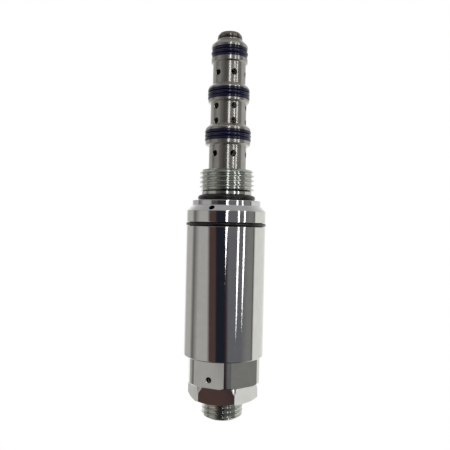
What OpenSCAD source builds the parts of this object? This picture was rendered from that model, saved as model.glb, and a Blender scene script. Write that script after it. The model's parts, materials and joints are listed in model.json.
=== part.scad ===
// Screw-in cartridge valve with a ported sleeve, a sliding spool and an adjustable spring housing.
// Millimetres. +Z runs along the valve towards the nose; the origin is the centre of the seat face,
// the shoulder of the housing that lands on the block under the neck thread.

/* [Sleeve] */
// Diameter of the sealing land at the nose
land_1_d = 15.9; // [15.8:0.05:16]
// Diameter of the middle sealing land
land_2_d = 17.9; // [17.8:0.05:18]
// Diameter of the sealing land nearest the seat face
land_3_d = 19.8; // [19.7:0.05:19.9]
// Width of the 45 degree chamfer under each land
land_edge = 0.45; // [0.2:0.05:0.6]
// Diameter of the port window below the nose land
window_1_d = 14.4; // [14.2:0.1:14.6]
// Diameter of the port window below the middle land
window_2_d = 15.7; // [15.5:0.1:15.9]
// Diameter of the port window nearest the seat face
window_3_d = 16.4; // [16.2:0.1:16.6]
// Diameter of the neck at the nose
nose_neck_d = 11.2; // [10.6:0.1:11.4]
// Height of the sleeve's nose face above the seat face
nose_face_z = 70.6; // [70.2:0.1:71]
// Diameter of the sleeve's tail inside the housing neck
tail_d = 14.4; // [14.0:0.1:14.4]
// Number of ports in a row
port_count = 6; // [4:1:8]
// Angle of the first port, measured from +X
port_angle = -72.5; // [-90:0.5:0]

/* [Seals] */
// Width of a seal groove in the sleeve
seal_groove_w = 4.4; // [4.3:0.1:4.6]
// Depth of a seal groove in the sleeve
seal_groove_depth = 1.75; // [1.7:0.05:1.8]
// Thickness of a backup ring
backup_t = 1.1; // [1.0:0.05:1.15]
// Cord diameter of the O-ring on the seat face
neck_cord_d = 2.4; // [2.2:0.1:2.4]
// Cord diameter of the O-ring in the housing wall
body_cord_d = 1.5; // [1.4:0.05:1.55]

/* [Housing] */
// Outside diameter of the spring housing
body_d = 34.7; // [34:0.1:35.4]
// Length of the spring housing below the seat face
body_length = 67.4; // [67:0.1:68]
// Diameter of the collar under the seat face
collar_d = 30; // [29:0.5:31]
// Height of the collar
collar_h = 2.2; // [1.9:0.05:2.4]
// Major diameter of the neck thread
neck_thread_d = 24; // [24:0.1:24.4]
// Height of the neck above the seat face
neck_top_z = 13.4; // [13:0.1:13.6]
// Distance of the housing O-ring below the seat face
body_seal_z = 10.3; // [9.8:0.1:11]
// Diameter of the spring chamber
chamber_d = 25; // [24.8:0.1:25.4]
// Diameter of the oblique drain drilled through the shoulder chamfer
drain_d = 2.5; // [2:0.1:2.8]
// Angle of the drain, measured from +X
drain_angle = -112; // [-130:1:-90]

/* [End cap] */
// Width across the flats of the end cap
cap_flats = 30; // [29:0.5:30]
// Height of the end cap's hexagon
cap_hex_h = 11.25; // [10:0.05:12]
// Angle of the flat that carries the wire hole, measured from +X
cap_flat_angle = -113.1; // [-150:0.1:-90]
// Major diameter of the end cap's thread
cap_thread_d = 27; // [26:0.5:28]
// Diameter of the wire hole in the flat
wire_hole_d = 2.2; // [1.6:0.1:2.6]

/* [Adjuster] */
// Major diameter of the adjusting thread
adjuster_d = 18; // [18:0.1:18.4]
// Diameter of the adjusting plug's sealing spigot
spigot_d = 15; // [14.6:0.1:15]
// Length of the adjusting plug below the end cap
stub_length = 15.5; // [15:0.1:18]
// Width across the flats of the hexagon socket in the plug
socket_flats = 8; // [6:1:10]
// Width across the flats of the lock nut
nut_flats = 27; // [26:0.5:28]
// Height of the lock nut
nut_h = 7.2; // [6.5:0.1:7.5]
// Angle of one nut flat, measured from +X
nut_flat_angle = 19; // [0:1:59]

/* [Spool and springs] */
// Diameter of the spool
spool_d = 9; // [8.6:0.1:9]
// Diameter of the spool's metering necks
spool_neck_d = 6.2; // [5.6:0.1:7]
// Diameter of the pilot piston in the nose
piston_d = 6; // [5.4:0.1:6]
// Mean diameter of the main spring
main_mean_d = 19.2; // [18.8:0.1:19.4]
// Wire diameter of the main spring
main_wire_d = 2.6; // [2.2:0.1:2.8]
// Coils of the main spring
main_coils = 7.5; // [6:0.5:8.5]
// Mean diameter of the inner spring
inner_mean_d = 11.6; // [11.2:0.1:12]
// Wire diameter of the inner spring
inner_wire_d = 1.6; // [1.2:0.1:1.8]
// Coils of the inner spring
inner_coils = 10.5; // [8:0.5:12]

/* [Hidden] */

$fn = 96;
// Extra length that makes a cutter pass right through a face
eps = 0.5;
// Radial gap of a sliding fit
fit = 0.03;
// Gap between pieces that are assembled but don't slide
ease = 0.05;

sleeve_grey = [0.46, 0.45, 0.43];
polished_steel = [0.72, 0.73, 0.74];
zinc_steel = [0.78, 0.80, 0.76];
brown_steel = [0.22, 0.18, 0.16];
navy_seal = [0.08, 0.07, 0.20];
black_rubber = [0.05, 0.05, 0.05];
spring_steel = [0.40, 0.42, 0.45];
ground_steel = [0.62, 0.62, 0.60];

// Sleeve lands, the windows below them and their seals, nose end first
land_d = [land_1_d, land_2_d, land_3_d];
window_d = [window_1_d, window_2_d, window_3_d];
land_top = [70.2, 50.9, 33.1];
land_bottom = [60.1, 42.8, 24.2];
// Drop of the 45 degree chamfer above each land
land_chamfer = [2.2, 1.5, 1.5];
seal_mid_z = [64.5, 46.5, 28.35];
seal_cord_d = [1.85, 2.0, 2.0];
// Distance by which the backup rings stand out of their land (less than 0: below it)
backup_out = [-0.2, 0.22, 0.22];
// Radial gap between an O-ring and its groove's floor
cord_gap = 0.02;

// Rows of ports, nose end first
port_row_z = [55.4, 40.8, 34.4, 20.3];
port_row_d = [2.5, 2.4, 2.4, 2.5];

// Sleeve heights
bore_top_z = 60.5;
piston_bore_top_z = 67.6;
tail_shoulder_z = 9.9;
tail_end_z = -9;
circlip_t = 1;
circlip_depth = 0.7;
circlip_stand = 1.6;
circlip_gap = 3.2;
chamber_top_z = -6;
circlip_top_z = chamber_top_z - ease;
tail_seal_z = 3;
tail_cord_d = 1.45;
tail_groove_depth = 1.5;
small_groove_w = 2.2;
nose_thread_d = 8;
washer_t = 0.7;
washer_r = 5.55;

// Nose plug
nose_head_r = 5.35;
nose_head_top_r = 4.3;
nose_head_rim_h = 1;
nose_head_h = 2.4;
nose_orifice_r = 0.8;
nose_key_flats = 4;
nose_key_depth = 1.8;

// Housing heights
shoulder_chamfer = (body_d - collar_d) / 2;
neck_chamfer = 1;
relief_d = 22;
gland_d = 20.3;
gland_h = 2.6;
relief_top_z = 3.9;
body_edge = 0.4;
body_groove_w = 1.8;
body_groove_depth = 1.35;
chamber_bottom_z = -62;
cap_thread_top_z = -63;
cap_relief_depth = 0.3;
neck_bore_d = tail_d + 2 * ease;
neck_bore_gap = 0.1;
// Reach of the drain's drill below and above the shoulder chamfer
drain_reach = 8;
drain_start = 2;

// End cap heights
cap_top_z = -57;
cap_seat_z = -body_length;
cap_bottom_z = cap_seat_z - cap_hex_h;
cap_seal_z = -59.5;
cap_cord_d = 1.55;
cap_groove_depth = 1.6;
cap_cord_sink = 0.03;
cap_neck_step = 0.6;
spigot_bore_end_z = -69;
wire_hole_z = cap_bottom_z + 3.3;
cap_corner_r = 16.5;
cap_bevel = [0.7, 0.6];

// Spring stack heights
seat_r = chamber_d / 2 - 0.7;
seat_t = 3;
boss_r = 4.2;
boss_h = 4;
upper_seat_top_z = -12;
upper_seat_face_z = upper_seat_top_z - seat_t;
lower_seat_face_z = -50;
shim_t = 1;
shim_step = 0.6;
stem_d = 6;
stem_reach = 1;
stem_gap = 0.02;
seat_hole_count = 4;
seat_hole_circle_r = 7.8;
seat_hole_r = 1.2;
// Pitch of a spring's closed end turns, in wire diameters
closed_pitch = 1.03;
spring_gap = 0.02;

// Adjuster heights
plug_end_z = cap_bottom_z - stub_length;
plug_thread_top_z = -73;
plug_spigot_top_z = -61.5;
plug_nose_d = 10;
plug_nose_chamfer = 1;
plug_end_chamfer = 1.5;
plug_recess_h = 1;
plug_recess_gap = 0.3;
plug_seal_z = -63.5;
plug_cord_d = 1.55;
plug_groove_depth = 1.6;
socket_depth = 8;
nut_seal_t = 1.3;
nut_seal_gap = 0.15;
nut_bevel_low = [1.7, 1];
nut_bevel_high = [0.8, 2.8];
nut_seal_r = 11.1;

// Spool necks as [lower end, upper end]
spool_necks = [[17.5, 23], [35.6, 39.6], [51.8, 57]];
// Middle heights of the narrow balance grooves on the spool's lands
balance_grooves = [4, 8, 12, 28, 31, 45, 48];
balance_groove_w = 0.5;
balance_groove_depth = 0.4;
spool_top_z = 60;
spool_end_chamfer = 0.5;
spool_drill_d = 2.4;
spool_drill_top_z = 38.8;
spool_cross_z = 37.6;
spool_cross_d = 1.6;
piston_grooves = [62.5, 64, 65.5];
piston_groove_w = 0.4;
piston_groove_depth = 0.3;

// Solid cylinder between two heights
module rod(low, high, r) {
    translate([0, 0, low]) cylinder(h = high - low, r = r);
}

// Cone between two heights
module taper(low, high, r_low, r_high) {
    translate([0, 0, low]) cylinder(h = high - low, r1 = r_low, r2 = r_high);
}

// Hollow cylinder between two heights
module tube(low, high, r_out, r_in) {
    difference() {
        rod(low, high, r_out);
        rod(low - eps, high + eps, r_in);
    }
}

// Cutter for a square groove turned into a round face
module groove_cut(mid, width, r_floor, r_face) {
    tube(mid - width / 2, mid + width / 2, r_face + eps, r_floor);
}

// O-ring of a given cord, whose inside lies on r_floor
module o_ring(mid, cord, r_floor) {
    translate([0, 0, mid]) rotate_extrude() translate([r_floor + cord / 2, 0]) circle(d = cord, $fn = 32);
}

// Hexagonal prism turned down to a radius, with a bevel [radial, along the axis] at each end, or [] for none
module turned_hex(low, high, flats, r, angle, bevel_low, bevel_high) {
    foot = len(bevel_low) ? [[r - bevel_low[0], low], [r, low + bevel_low[1]]] : [[r, low]];
    head = len(bevel_high) ? [[r, high - bevel_high[1]], [r - bevel_high[0], high]] : [[r, high]];
    intersection() {
        rotate([0, 0, angle - 30])
            translate([0, 0, low]) cylinder(h = high - low, d = flats / cos(30), $fn = 6);
        rotate_extrude() polygon(concat([[0, low]], foot, head, [[0, high]]));
    }
}

// Height of a coil's centre line: closed end turns and an open middle
function coil_z(turn, turns, low, high, wire) =
    let (
        dead = 1.0,
        dead_rise = dead * wire * closed_pitch,
        bottom = low + wire / 2,
        top = high - wire / 2,
        open_turns = turns - 2 * dead,
        open_rise = (top - bottom - 2 * dead_rise) / open_turns
    )
    turn < dead ? bottom + turn * wire * closed_pitch :
    turn > turns - dead ? top - (turns - turn) * wire * closed_pitch :
    bottom + dead_rise + (turn - dead) * open_rise;

// Wound compression spring between two heights
module coil_spring(low, high, mean_d, wire, turns) {
    sides = 10;
    steps_per_turn = 18;
    steps = round(turns * steps_per_turn);
    points = [
        for (i = [0 : steps])
            let (turn = i / steps_per_turn, z = coil_z(turn, turns, low, high, wire))
                for (j = [0 : sides - 1])
                    let (
                        a = 360 * j / sides,
                        r = mean_d / 2 + wire / 2 * cos(a)
                    )
                    [r * cos(360 * turn), r * sin(360 * turn), z + wire / 2 * sin(a)]
    ];
    skin = [
        for (i = [0 : steps - 1])
            for (j = [0 : sides - 1])
                let (k = (j + 1) % sides)
                    [i * sides + j, i * sides + k, (i + 1) * sides + k, (i + 1) * sides + j]
    ];
    first_end = [for (j = [sides - 1 : -1 : 0]) j];
    last_end = [for (j = [0 : sides - 1]) steps * sides + j];
    polyhedron(points = points, faces = concat(skin, [first_end, last_end]), convexity = 10);
}

module sleeve_land(i) {
    r = land_d[i] / 2;
    neck_r = i == 0 ? nose_neck_d / 2 : window_d[i - 1] / 2;
    chamfer = min(land_chamfer[i], r - neck_r);
    taper(land_bottom[i], land_bottom[i] + land_edge, r - land_edge, r);
    rod(land_bottom[i] + land_edge, land_top[i] - land_chamfer[i], r);
    taper(land_top[i] - land_chamfer[i], land_top[i], r, r - chamfer);
}

module sleeve_blank() {
    for (i = [0 : 2]) sleeve_land(i);
    rod(land_bottom[0], nose_face_z, nose_neck_d / 2);
    rod(land_bottom[1], land_bottom[0] + ease, window_d[0] / 2);
    rod(land_bottom[2], land_bottom[1] + ease, window_d[1] / 2);
    rod(tail_shoulder_z, land_bottom[2] + ease, window_d[2] / 2);
    rod(tail_end_z, tail_shoulder_z + ease, tail_d / 2);
}

module sleeve_ports() {
    for (row = [0 : len(port_row_z) - 1])
        for (k = [0 : port_count - 1])
            rotate([0, 0, port_angle + 360 * k / port_count])
                translate([0, 0, port_row_z[row]])
                    rotate([0, 90, 0])
                        cylinder(h = land_d[2], d = port_row_d[row], $fn = 32);
}

module sleeve() {
    color(sleeve_grey) difference() {
        sleeve_blank();
        rod(tail_end_z - eps, bore_top_z, spool_d / 2 + fit);
        rod(bore_top_z - eps, piston_bore_top_z + eps, piston_d / 2 + fit);
        rod(piston_bore_top_z, nose_face_z + eps, nose_thread_d / 2);
        for (i = [0 : 2])
            groove_cut(seal_mid_z[i], seal_groove_w, land_d[i] / 2 - seal_groove_depth, land_d[i] / 2);
        groove_cut(tail_seal_z, small_groove_w, tail_d / 2 - tail_groove_depth, tail_d / 2);
        groove_cut(circlip_top_z - circlip_t / 2, circlip_t + ease, tail_d / 2 - circlip_depth, tail_d / 2);
        sleeve_ports();
    }
}

module nose_plug() {
    head_low = nose_face_z + washer_t;
    head_mid = head_low + nose_head_rim_h;
    head_top = head_low + nose_head_h;
    color(brown_steel) difference() {
        union() {
            rod(piston_bore_top_z + ease, head_low + ease, nose_thread_d / 2 - ease);
            rod(head_low, head_mid, nose_head_r);
            taper(head_mid, head_top, nose_head_r, nose_head_top_r);
        }
        rod(0, head_top + eps, nose_orifice_r);
        translate([0, 0, head_top - nose_key_depth])
            cylinder(h = nose_key_depth + eps, d = nose_key_flats / cos(30), $fn = 6);
    }
}

module nose_washer() {
    color(black_rubber) tube(nose_face_z, nose_face_z + washer_t, washer_r, nose_thread_d / 2 + ease);
}

module sleeve_circlip() {
    ring_r = tail_d / 2 + circlip_stand;
    low = circlip_top_z - circlip_t;
    color(spring_steel) difference() {
        tube(low, circlip_top_z, ring_r, tail_d / 2 - circlip_depth + ease);
        translate([0, -circlip_gap / 2, low - eps]) cube([ring_r + eps, circlip_gap, circlip_t + 2 * eps]);
    }
}

module sleeve_tail_o_ring() {
    color(black_rubber) o_ring(tail_seal_z, tail_cord_d, tail_d / 2 - tail_groove_depth + ease);
}

// Backup ring number i, above (+1) or below (-1) its O-ring
module backup_ring(i, side) {
    floor_r = land_d[i] / 2 - seal_groove_depth;
    mid = seal_mid_z[i] + side * (seal_groove_w / 2 - ease - backup_t / 2);
    face_r = land_d[i] / 2 + backup_out[i];
    color(navy_seal) tube(mid - backup_t / 2, mid + backup_t / 2, face_r, floor_r + ease);
}

module sleeve_o_ring(i) {
    color(navy_seal) o_ring(seal_mid_z[i], seal_cord_d[i], land_d[i] / 2 - seal_groove_depth + cord_gap);
}

module housing_blank() {
    r = body_d / 2;
    shoulder_z = -collar_h - shoulder_chamfer;
    rod(relief_top_z, neck_top_z - neck_chamfer, neck_thread_d / 2);
    taper(neck_top_z - neck_chamfer, neck_top_z, neck_thread_d / 2, neck_thread_d / 2 - neck_chamfer);
    rod(gland_h, relief_top_z + ease, relief_d / 2);
    rod(-ease, gland_h + ease, gland_d / 2);
    rod(-collar_h, 0, collar_d / 2);
    taper(shoulder_z, -collar_h, r, collar_d / 2);
    rod(-body_length + body_edge, shoulder_z, r);
    taper(-body_length, -body_length + body_edge, r - body_edge, r);
}

// Drain drilled square to the shoulder chamfer, down into the spring chamber
module drain_cut() {
    rotate([0, 0, drain_angle])
        translate([(collar_d + body_d) / 4, 0, -collar_h - shoulder_chamfer / 2])
            rotate([0, 45, 0])
                translate([0, 0, -drain_reach])
                    cylinder(h = drain_reach + drain_start, d = drain_d, $fn = 32);
}

module spring_housing() {
    color(polished_steel) difference() {
        housing_blank();
        rod(tail_shoulder_z, neck_top_z + eps, window_d[2] / 2 + neck_bore_gap);
        rod(chamber_top_z - eps, tail_shoulder_z + eps, neck_bore_d / 2);
        rod(chamber_bottom_z - eps, chamber_top_z, chamber_d / 2);
        rod(cap_thread_top_z - eps, chamber_bottom_z, cap_thread_d / 2 + cap_relief_depth);
        rod(-body_length - eps, cap_thread_top_z, cap_thread_d / 2);
        groove_cut(-body_seal_z, body_groove_w, body_d / 2 - body_groove_depth, body_d / 2);
        drain_cut();
    }
}

module neck_o_ring() {
    color(black_rubber) o_ring(neck_cord_d / 2 + 0.03, neck_cord_d, gland_d / 2 + 0.04);
}

module body_o_ring() {
    color(black_rubber) o_ring(-body_seal_z, body_cord_d, body_d / 2 - body_groove_depth + cord_gap);
}

module end_cap_blank() {
    spigot_r = chamber_d / 2 - ease;
    turned_hex(cap_bottom_z, cap_seat_z, cap_flats, cap_corner_r, cap_flat_angle, cap_bevel, []);
    rod(cap_seat_z - ease, cap_thread_top_z - ease, cap_thread_d / 2 - ease);
    rod(cap_thread_top_z - 2 * ease, chamber_bottom_z, spigot_r - cap_neck_step);
    rod(chamber_bottom_z - ease, cap_top_z, spigot_r);
}

module end_cap() {
    color(polished_steel) difference() {
        end_cap_blank();
        rod(spigot_bore_end_z - eps, cap_top_z + eps, spigot_d / 2 + fit);
        rod(cap_bottom_z - eps, spigot_bore_end_z, adjuster_d / 2 + ease);
        groove_cut(cap_seal_z, small_groove_w, chamber_d / 2 - ease - cap_groove_depth, chamber_d / 2);
        rotate([0, 0, cap_flat_angle])
            translate([adjuster_d / 2 - 1, 0, wire_hole_z])
                rotate([0, 90, 0])
                    cylinder(h = cap_flats / 2, d = wire_hole_d, $fn = 32);
    }
}

module end_cap_o_ring() {
    color(black_rubber) o_ring(cap_seal_z, cap_cord_d, chamber_d / 2 - cap_groove_depth - cap_cord_sink);
}

module spool() {
    r = spool_d / 2;
    color(ground_steel) difference() {
        union() {
            rod(upper_seat_top_z, spool_top_z - spool_end_chamfer, r);
            taper(spool_top_z - spool_end_chamfer, spool_top_z, r, r - spool_end_chamfer);
            rod(upper_seat_face_z - stem_reach, upper_seat_top_z + ease, stem_d / 2);
        }
        for (neck = spool_necks)
            groove_cut((neck[0] + neck[1]) / 2, neck[1] - neck[0], spool_neck_d / 2, r);
        for (z = balance_grooves)
            groove_cut(z, balance_groove_w, r - balance_groove_depth, r);
        rod(upper_seat_face_z - 2, spool_drill_top_z, spool_drill_d / 2);
        translate([-spool_d, 0, spool_cross_z])
            rotate([0, 90, 0])
                cylinder(h = 2 * spool_d, d = spool_cross_d, $fn = 32);
    }
}

module pilot_piston() {
    low = spool_top_z + ease;
    high = piston_bore_top_z - ease;
    r = piston_d / 2;
    color(ground_steel) difference() {
        union() {
            rod(low, high - spool_end_chamfer, r);
            taper(high - spool_end_chamfer, high, r, r - spool_end_chamfer);
        }
        for (z = piston_grooves) groove_cut(z, piston_groove_w, r - piston_groove_depth, r);
    }
}

module upper_spring_seat() {
    color(spring_steel) difference() {
        union() {
            rod(upper_seat_face_z, upper_seat_top_z, seat_r);
            rod(upper_seat_face_z - boss_h, upper_seat_face_z + ease, boss_r);
        }
        rod(upper_seat_face_z - boss_h - eps, upper_seat_top_z + eps, stem_d / 2 + stem_gap);
        for (k = [0 : seat_hole_count - 1])
            rotate([0, 0, 360 * (k + 0.5) / seat_hole_count])
                translate([seat_hole_circle_r, 0, upper_seat_face_z - eps])
                    cylinder(h = seat_t + 2 * eps, r = seat_hole_r, $fn = 32);
    }
}

module main_spring() {
    color(spring_steel) coil_spring(lower_seat_face_z + shim_t + spring_gap,
        upper_seat_face_z - spring_gap, main_mean_d, main_wire_d, main_coils);
}

module inner_spring() {
    color(spring_steel) coil_spring(lower_seat_face_z + spring_gap,
        upper_seat_face_z - spring_gap, inner_mean_d, inner_wire_d, inner_coils);
}

module spring_shim() {
    color(zinc_steel) tube(lower_seat_face_z, lower_seat_face_z + shim_t,
        seat_r - shim_step, inner_mean_d / 2 + inner_wire_d / 2 + shim_step);
}

module lower_spring_seat() {
    low = lower_seat_face_z - seat_t;
    color(spring_steel) difference() {
        union() {
            rod(low, lower_seat_face_z, seat_r);
            rod(lower_seat_face_z - ease, lower_seat_face_z + boss_h, boss_r);
        }
        rod(low - eps, low + plug_recess_h, plug_nose_d / 2 + plug_recess_gap);
    }
}

module adjusting_plug() {
    r = adjuster_d / 2;
    nose_r = plug_nose_d / 2;
    nose_top_z = lower_seat_face_z - seat_t + plug_recess_h - ease;
    color(zinc_steel) difference() {
        union() {
            taper(plug_end_z, plug_end_z + plug_end_chamfer, r - plug_end_chamfer, r);
            rod(plug_end_z + plug_end_chamfer, plug_thread_top_z, r);
            rod(plug_thread_top_z - ease, plug_spigot_top_z, spigot_d / 2);
            rod(plug_spigot_top_z - ease, nose_top_z - plug_nose_chamfer, nose_r);
            taper(nose_top_z - plug_nose_chamfer, nose_top_z, nose_r, nose_r - plug_nose_chamfer);
        }
        groove_cut(plug_seal_z, small_groove_w, spigot_d / 2 - plug_groove_depth, spigot_d / 2);
        translate([0, 0, plug_end_z - eps])
            cylinder(h = socket_depth + eps, d = socket_flats / cos(30), $fn = 6);
    }
}

module plug_o_ring() {
    color(black_rubber) o_ring(plug_seal_z, plug_cord_d, spigot_d / 2 - plug_groove_depth + cord_gap);
}

module lock_nut() {
    high = cap_bottom_z - ease;
    color(polished_steel) difference() {
        turned_hex(high - nut_h, high, nut_flats, nut_flats / 2 / cos(30) - ease, nut_flat_angle,
            nut_bevel_low, nut_bevel_high);
        rod(high - nut_h - eps, high + eps, adjuster_d / 2 + ease);
        rod(high - nut_seal_t - ease, high + eps, nut_seal_r + ease);
    }
}

module lock_nut_seal() {
    high = cap_bottom_z - ease;
    color(black_rubber) tube(high - nut_seal_t, high, nut_seal_r, adjuster_d / 2 + nut_seal_gap);
}

sleeve();
nose_plug();
nose_washer();
sleeve_circlip();
sleeve_tail_o_ring();
backup_ring(0, 1);  // seal_1_upper_backup
sleeve_o_ring(0);  // seal_1_o_ring
backup_ring(0, -1);  // seal_1_lower_backup
backup_ring(1, 1);  // seal_2_upper_backup
sleeve_o_ring(1);  // seal_2_o_ring
backup_ring(1, -1);  // seal_2_lower_backup
backup_ring(2, 1);  // seal_3_upper_backup
sleeve_o_ring(2);  // seal_3_o_ring
backup_ring(2, -1);  // seal_3_lower_backup
spring_housing();
neck_o_ring();
body_o_ring();
end_cap();
end_cap_o_ring();
spool();
pilot_piston();
upper_spring_seat();
main_spring();
inner_spring();
spring_shim();
lower_spring_seat();
adjusting_plug();
plug_o_ring();
lock_nut();
lock_nut_seal();
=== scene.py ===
import json
import math

import bmesh
import bpy
from mathutils import Matrix, Vector


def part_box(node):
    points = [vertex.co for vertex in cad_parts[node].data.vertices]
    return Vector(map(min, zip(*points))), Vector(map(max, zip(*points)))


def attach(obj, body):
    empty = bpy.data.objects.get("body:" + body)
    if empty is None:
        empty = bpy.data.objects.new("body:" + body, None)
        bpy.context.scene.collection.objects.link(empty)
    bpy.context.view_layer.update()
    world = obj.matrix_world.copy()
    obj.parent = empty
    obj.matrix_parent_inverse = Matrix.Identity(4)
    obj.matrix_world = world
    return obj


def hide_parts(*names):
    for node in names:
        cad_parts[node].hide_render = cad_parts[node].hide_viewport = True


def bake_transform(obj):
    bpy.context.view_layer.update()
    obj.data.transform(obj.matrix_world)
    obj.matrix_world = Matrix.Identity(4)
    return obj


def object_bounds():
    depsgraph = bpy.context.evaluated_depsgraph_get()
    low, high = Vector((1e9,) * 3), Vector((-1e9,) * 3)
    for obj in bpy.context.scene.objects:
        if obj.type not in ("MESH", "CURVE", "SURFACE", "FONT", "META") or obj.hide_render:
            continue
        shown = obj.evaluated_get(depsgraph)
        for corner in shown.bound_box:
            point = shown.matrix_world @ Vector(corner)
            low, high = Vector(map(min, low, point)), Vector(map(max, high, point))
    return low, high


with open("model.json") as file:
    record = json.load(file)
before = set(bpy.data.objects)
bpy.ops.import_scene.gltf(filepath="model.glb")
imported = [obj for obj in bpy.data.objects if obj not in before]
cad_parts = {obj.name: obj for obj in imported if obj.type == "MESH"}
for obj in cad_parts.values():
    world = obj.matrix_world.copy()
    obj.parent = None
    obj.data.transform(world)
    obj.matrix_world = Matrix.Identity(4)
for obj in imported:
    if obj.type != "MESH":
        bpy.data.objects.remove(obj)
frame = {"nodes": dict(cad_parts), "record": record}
CAD_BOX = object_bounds()
MM = 0.001


# ---------------------------------------------------------------- frame sizes

def span(node):
    """Largest radius, lowest height and highest height of a CAD node, in millimetres."""
    low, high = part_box(node)
    radius = max(high.x, high.y, -low.x, -low.y) / MM
    return radius, low.z / MM, high.z / MM


BODY_R, BODY_LOW, NECK_TOP = span("spring_housing")
_, TAIL_END, NOSE_FACE = span("sleeve")
_, _, DOME_TOP = span("nose_plug")
_, CAP_LOW, CAP_TOP = span("end_cap")
_, NUT_LOW, NUT_TOP = span("lock_nut")
STUB_R, PLUG_LOW, PLUG_TOP = span("adjusting_plug")

# Gap between pieces that touch in life, so that their faces don't flicker
FIT = 0.05


# ------------------------------------------------------------- outline helpers

def arc_corner(before, corner, after, radius, steps):
    """Points of a round corner between two straight runs of an outline."""
    a = Vector(before) - Vector(corner)
    b = Vector(after) - Vector(corner)
    half = a.angle(b) / 2
    if radius <= 0 or half > math.radians(89):
        return [tuple(corner)]
    reach = min(radius / math.tan(half), a.length * 0.48, b.length * 0.48)
    radius = reach * math.tan(half)
    start = Vector(corner) + a.normalized() * reach
    end = Vector(corner) + b.normalized() * reach
    centre = Vector(corner) + (a.normalized() + b.normalized()).normalized() * (radius / math.sin(half))
    first = start - centre
    last = end - centre
    sweep = first.angle_signed(last)
    points = []
    for i in range(steps + 1):
        turn = Matrix.Rotation(-sweep * i / steps, 2)
        points.append(tuple(centre + turn @ first))
    return points


def add_support(points, support):
    """Adds a point near each end of every long run, so that shading stays flat along it."""
    full = [points[0]]
    for here, there in zip(points, points[1:]):
        a = Vector(here)
        b = Vector(there)
        run = (b - a).length
        if run > 4 * support:
            full += [tuple(a.lerp(b, support / run)), tuple(a.lerp(b, 1 - support / run))]
        full.append(there)
    return full


def outline(corners, steps=4, support=0.2):
    """Closed outline from corners given as (r, z, corner radius)."""
    count = len(corners)
    points = []
    for i, (r, z, radius) in enumerate(corners):
        before = corners[i - 1][:2]
        after = corners[(i + 1) % count][:2]
        points += arc_corner(before, (r, z), after, radius, steps)
    return add_support(points + points[:1], support)[:-1]


def outline_run(corners, steps=4, support=0.2):
    """Open run of an outline with round corners; its two ends stay as they are."""
    points = [corners[0][:2]]
    for before, (r, z, radius), after in zip(corners, corners[1:], corners[2:]):
        points += arc_corner(before[:2], (r, z), after[:2], radius, steps)
    points.append(corners[-1][:2])
    return add_support(points, support)


def ring_outline(mid, cord, r_inside, steps=28):
    """Round section of an O-ring."""
    centre = r_inside + cord / 2
    return [
        (centre + cord / 2 * math.cos(math.tau * i / steps), mid + cord / 2 * math.sin(math.tau * i / steps))
        for i in range(steps)
    ]


# ---------------------------------------------------------------- mesh helpers

def new_object(name, bm, sharp=None):
    """Turns a bmesh in millimetres into a smooth-shaded object in metres."""
    bmesh.ops.remove_doubles(bm, verts=bm.verts, dist=1e-5)
    bmesh.ops.recalc_face_normals(bm, faces=bm.faces)
    bmesh.ops.scale(bm, vec=(MM, MM, MM), verts=bm.verts)
    mesh = bpy.data.meshes.new(name)
    bm.to_mesh(mesh)
    bm.free()
    obj = bpy.data.objects.new(name, mesh)
    bpy.context.scene.collection.objects.link(obj)
    smooth(obj, sharp)
    return obj


def smooth(obj, sharp=None):
    """Smooth shading, with edges over the given angle in degrees kept sharp."""
    for polygon in obj.data.polygons:
        polygon.use_smooth = True
    if sharp is not None:
        obj.data.set_sharp_from_angle(angle=math.radians(sharp))


def lathe(name, points, segments=192, sharp=None):
    """Revolves a closed outline of (r, z) points about the Z axis."""
    bm = bmesh.new()
    columns = []
    for i in range(segments):
        a = math.tau * i / segments
        columns.append([bm.verts.new((r * math.cos(a), r * math.sin(a), z)) for r, z in points])
    count = len(points)
    for i in range(segments):
        here = columns[i]
        there = columns[(i + 1) % segments]
        for j in range(count):
            k = (j + 1) % count
            bm.faces.new((here[j], there[j], there[k], here[k]))
    return new_object(name, bm, sharp)


def drill(r, low, high, segments=32, rim=0.0, flare=0.0):
    """Drill bit along +X for boolean cuts; rim and flare widen its mouth into a small countersink."""
    rings = [(low, r), (high, r)]
    if rim:
        rings = [(low, r), (high - rim, r), (high + 1, r + flare + flare / rim)]
    bm = bmesh.new()
    loops = []
    for x, radius in rings:
        turns = [math.tau * i / segments for i in range(segments)]
        loops.append([bm.verts.new((x, radius * math.cos(a), radius * math.sin(a))) for a in turns])
    for here, there in zip(loops, loops[1:]):
        for i in range(segments):
            k = (i + 1) % segments
            bm.faces.new((here[i], here[k], there[k], there[i]))
    bm.faces.new(loops[0])
    bm.faces.new(list(reversed(loops[-1])))
    return new_object("bit", bm)


def combine(obj, other, operation, sharp):
    """Applies a boolean between two objects, throws the second away and shades the first."""
    modifier = obj.modifiers.new("combine", "BOOLEAN")
    modifier.operation = operation
    modifier.solver = "EXACT"
    modifier.object = other
    bake_modifiers(obj)
    bpy.data.objects.remove(other)
    smooth(obj, sharp)


def cut(obj, cutter, sharp):
    """Cuts one object out of another."""
    combine(obj, cutter, "DIFFERENCE", sharp)


def meet(obj, other, sharp):
    """Keeps only what two objects share."""
    combine(obj, other, "INTERSECT", sharp)


def bake_modifiers(obj):
    """Applies every modifier of an object."""
    graph = bpy.context.evaluated_depsgraph_get()
    mesh = bpy.data.meshes.new_from_object(obj.evaluated_get(graph))
    obj.modifiers.clear()
    old = obj.data
    obj.data = mesh
    bpy.data.meshes.remove(old)


def join(objects):
    """Puts several meshes into the first of them."""
    bm = bmesh.new()
    for obj in objects:
        obj.data.transform(obj.matrix_world)
        bm.from_mesh(obj.data)
    first = objects[0]
    first.matrix_world = Matrix.Identity(4)
    bm.to_mesh(first.data)
    bm.free()
    for obj in objects[1:]:
        bpy.data.objects.remove(obj)
    return first


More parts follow.
